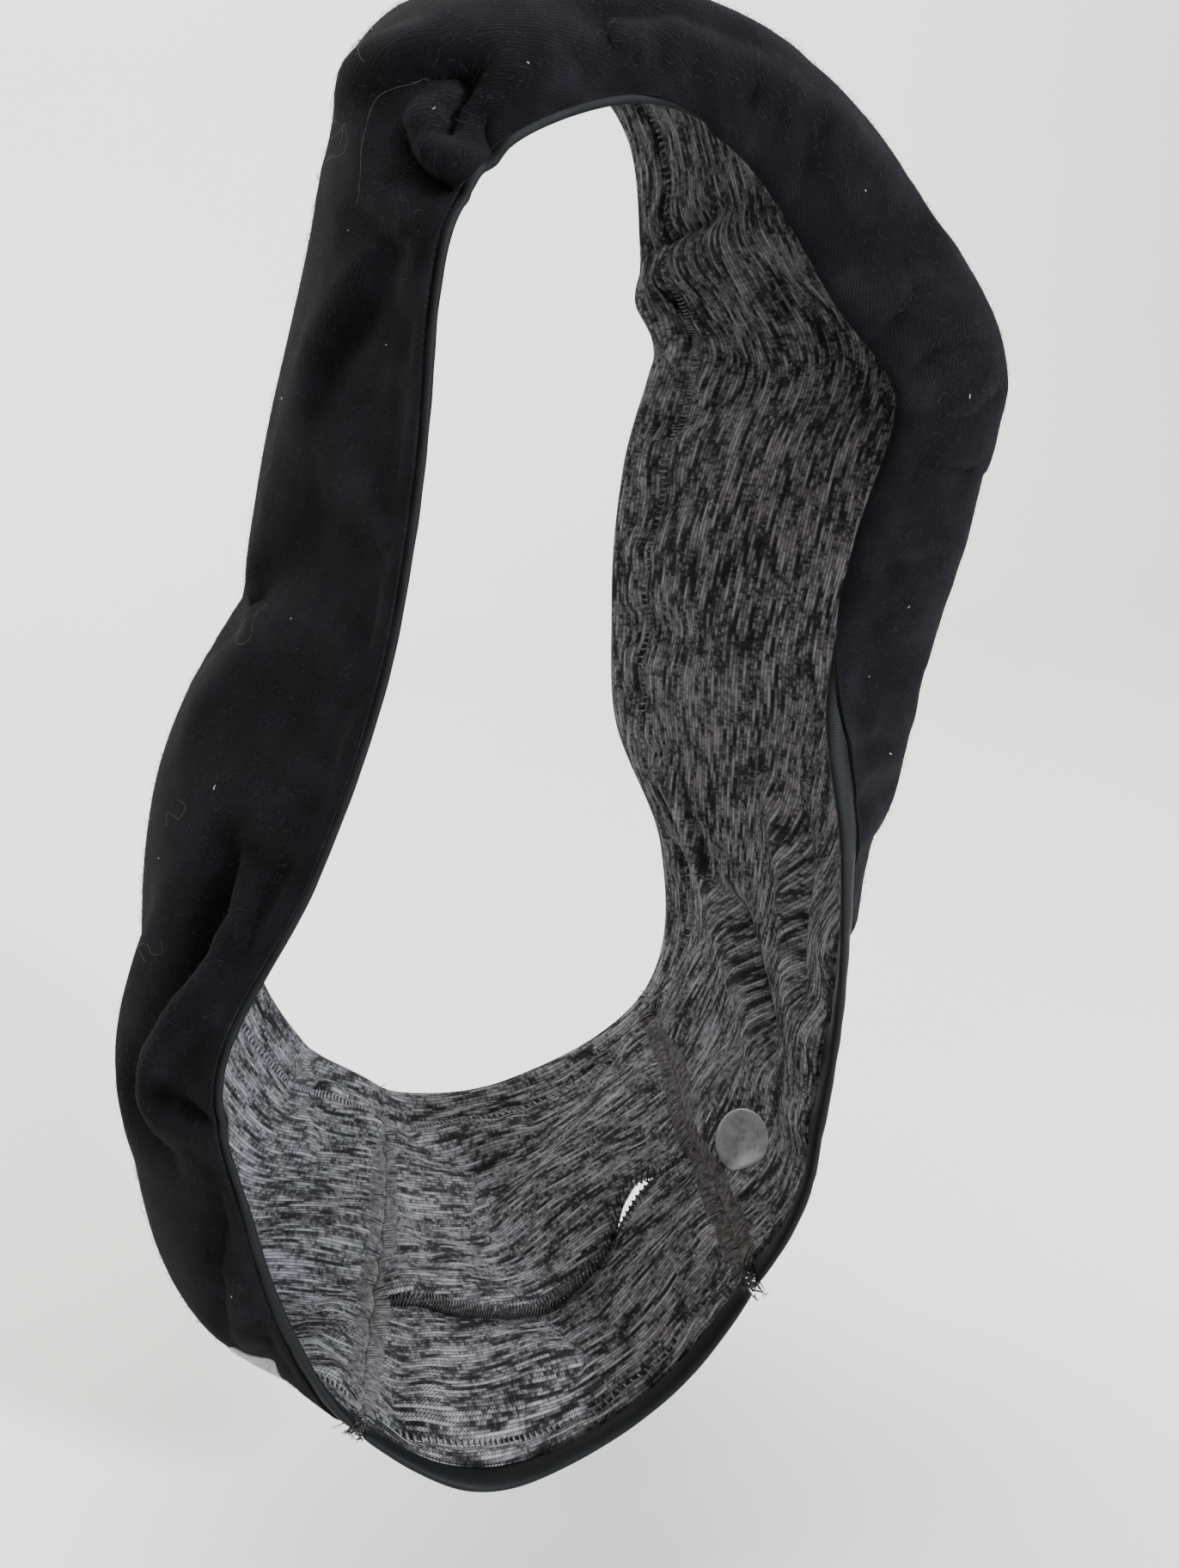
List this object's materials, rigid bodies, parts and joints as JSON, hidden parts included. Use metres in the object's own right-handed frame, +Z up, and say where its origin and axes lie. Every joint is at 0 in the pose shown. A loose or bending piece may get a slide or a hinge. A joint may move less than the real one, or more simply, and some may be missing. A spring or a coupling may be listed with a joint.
{
  "type": "sports headband",
  "caption": "Wide soft headband hanging as a loose loop: brushed outer front, heather lining, elastic edge trims, and a heather back panel with a ponytail slot.",
  "frame": {"origin": "hold point on top of the hanging loop, in the middle of the band's width", "axes": "+Z up from the bottom of the hanging loop to the hold point; +Y across the band from its near edge to its far edge; +X to the right seen from the near edge"},
  "size_m": [0.1372, 0.0913, 0.232],
  "materials": {
    "brushed_knit": "brushed fine twill knit, soft matt sheen",
    "heather_knit": "space-dyed heather rib knit, matt",
    "elastic_trim": "smooth matt elastic binding",
    "seam_thread": "textured looper thread",
    "dark_thread": "black overlock and needle thread",
    "transfer_film": "satin heat-transfer film"
  },
  "bodies": {
    "root": {"front_shell": "brushed_knit", "front_lining": "heather_knit", "back_upper_strip_outer": "heather_knit", "back_upper_strip_inner": "heather_knit", "back_lower_strip_outer": "heather_knit", "back_lower_strip_inner": "heather_knit", "near_trim_front": "elastic_trim", "near_trim_back": "elastic_trim", "far_trim_front": "elastic_trim", "far_trim_back": "elastic_trim", "near_edge_topstitch": "seam_thread", "far_edge_topstitch": "seam_thread", "right_seam_coverstitch": "seam_thread", "left_seam_coverstitch": "seam_thread", "right_seam_needle_rows": "dark_thread", "left_seam_needle_rows": "dark_thread", "upper_slot_overlock": "dark_thread", "lower_slot_overlock": "dark_thread", "lining_mark_disc": "transfer_film", "shell_mark_disc": "transfer_film", "frayed_seam_ends": "seam_thread"}
  },
  "joints": []
}
